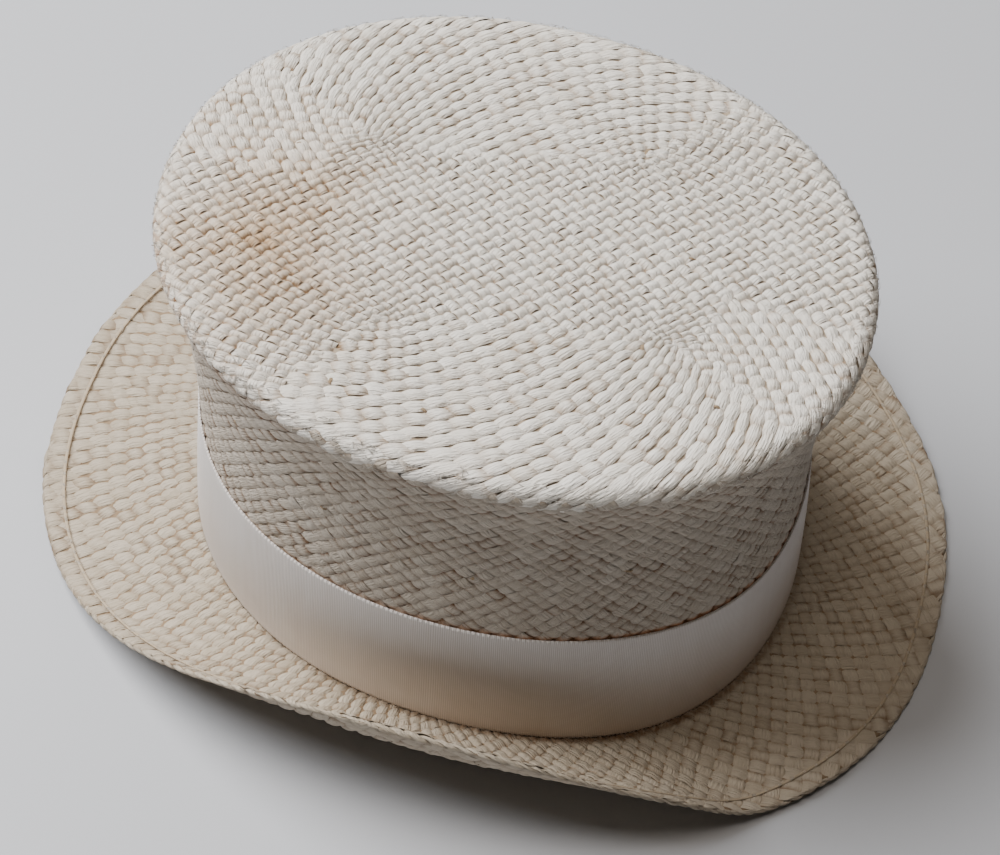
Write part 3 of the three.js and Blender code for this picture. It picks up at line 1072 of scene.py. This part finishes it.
def hat_band():
    """The ribbon round the foot of the crown, with upright ribs and scalloped edges."""
    columns = RIBS * RIB_COLUMNS
    angle = np.linspace(0, TURN, columns, endpoint=False)
    phase = TURN * np.arange(columns) / RIB_COLUMNS
    rib = 0.5 + 0.5 * np.cos(phase)
    scallop = PICOT_HEIGHT * np.cos(PICOTS * angle)
    wave = sum(size * np.sin(often * angle + start) for size, often, start in RIBBON_WAVES)
    painted_shading = WARM_LEAST + (1 - WARM_LEAST) * sag(RIBBON_WARM_SHADE, angle)
    rows, uv, marks = [], [], []
    top = band_top(angle)
    for s in RIBBON_SHARES:
        level = BAND_FOOT + s * (top - BAND_FOOT) + scallop * (2 * s - 1) ** PICOT_POWER + WAVE_HEIGHT * wave
        rim = 1 - abs(2 * s - 1) ** RIM_POWER
        ribbed = RIB_HEIGHT * rib * (EDGE_RIB + (1 - EDGE_RIB) * rim)
        rows.append(crown_wall(angle, level, CLEARANCE + RIBBON * RIBBON_FRONT + ribbed + RIBBON_BULGE * rim))
        uv.append(np.stack([angle / TURN * RIBBON_LENGTH, np.full(columns, s * (BAND_TOP - BAND_FOOT))], -1))
        # Painted warm shade, fading up the ribbon and strongest round its near right.
        painted_warm_shade = max(0.0, 1 - s / WARM_SHARE) * painted_shading
        # Its marks: painted shade between ribs, the painted warm shade, and nothing.
        marks.append(np.stack([1 - rib, painted_warm_shade, 0 * rib], -1))
    for s in RIBBON_SHARES[::-1][::RIBBON_ROWS - 1]:
        rows.append(crown_wall(angle, BAND_FOOT + s * (top - BAND_FOOT), CLEARANCE * RIBBON_BACK))
        uv.append(uv[-1])
        marks.append(marks[-1])
    faces = grid_faces(len(rows), columns, wrap=True)
    last = (len(rows) - 1) * columns
    k = np.arange(columns)
    n = (k + 1) % columns
    faces = np.concatenate([faces, np.stack([last + k, last + n, n, k], -1)])
    cells = [np.stack([angle / TURN, np.full(columns, r / len(rows))], -1) for r in range(len(rows))]
    piece = new_piece("ribbon", np.stack(rows), faces, CREAM_RIBBON,
                      np.stack(uv), np.stack(marks), np.stack(cells))
    join_to_hat(piece, "hat_band")


crown_shell()
crown_weave()
brim_shell()
brim_weave()
hem()
hat_band()
straw_ends()
rim_whiskers()


# Floor and lights, in metres, and the camera.

FLOOR_HALF = 4
WORLD_TONE, WORLD_STRENGTH = (1.0, 0.9, 0.8, 1), 0.035


def floor():
    corners = ((-1, -1, 0), (1, -1, 0), (1, 1, 0), (-1, 1, 0))
    points = np.array(corners) * FLOOR_HALF / MM
    piece = new_piece("floor", points, [(0, 1, 2, 3)], floor_material())


def soft_light(name, place, target, size, power, tone):
    data = bpy.data.lights.new(name, "AREA")
    data.shape = "DISK"
    data.size = size
    data.energy = power
    data.color = tone
    light = bpy.data.objects.new(name, data)
    light.location = place
    light.rotation_euler = (Vector(target) - Vector(place)).to_track_quat("-Z", "Y").to_euler()
    bpy.context.scene.collection.objects.link(light)


def studio():
    world = bpy.data.worlds.new("studio")
    world.use_nodes = True
    background = world.node_tree.nodes["Background"]
    background.inputs["Color"].default_value = WORLD_TONE
    background.inputs["Strength"].default_value = WORLD_STRENGTH
    bpy.context.scene.world = world
    soft_light("window", place=(-1.06, 0.18, 1.33), target=(0, 0, 0.1), size=1.4, power=63,
               tone=(0.97, 0.98, 1.0))
    soft_light("ceiling", place=(0.05, -0.1, 2.5), target=(0, 0, 0), size=0.9, power=14,
               tone=(1.0, 0.92, 0.84))


# The camera's focal length in pixels of a picture of this width, its angles in degrees, and its distance and
# aim in millimetres, fitted to the hat's ovals.
PICTURE_WIDTH = 1000
FOCAL_PIXELS = 2600
SENSOR = 36.0
CAMERA_AZIMUTH, CAMERA_ELEVATION, CAMERA_ROLL = 8.68, 54.02, 7.6
CAMERA_DISTANCE = 811.5
CAMERA_AIM = (-0.44, -14.87, 60.0)


def camera():
    data = bpy.data.cameras.new("camera")
    data.sensor_width = SENSOR
    data.lens = FOCAL_PIXELS / PICTURE_WIDTH * SENSOR
    view = bpy.data.objects.new("camera", data)
    azimuth, elevation = math.radians(CAMERA_AZIMUTH), math.radians(CAMERA_ELEVATION)
    back = Vector((
        math.sin(azimuth) * math.cos(elevation),
        -math.cos(azimuth) * math.cos(elevation),
        math.sin(elevation),
    ))
    turn = back.to_track_quat("Z", "Y").to_matrix() @ Matrix.Rotation(math.radians(CAMERA_ROLL), 3, "Z")
    view.matrix_world = Matrix.Translation((Vector(CAMERA_AIM) + back * CAMERA_DISTANCE) * MM) @ turn.to_4x4()
    bpy.context.scene.collection.objects.link(view)
    bpy.context.scene.camera = view


floor()
studio()
camera()
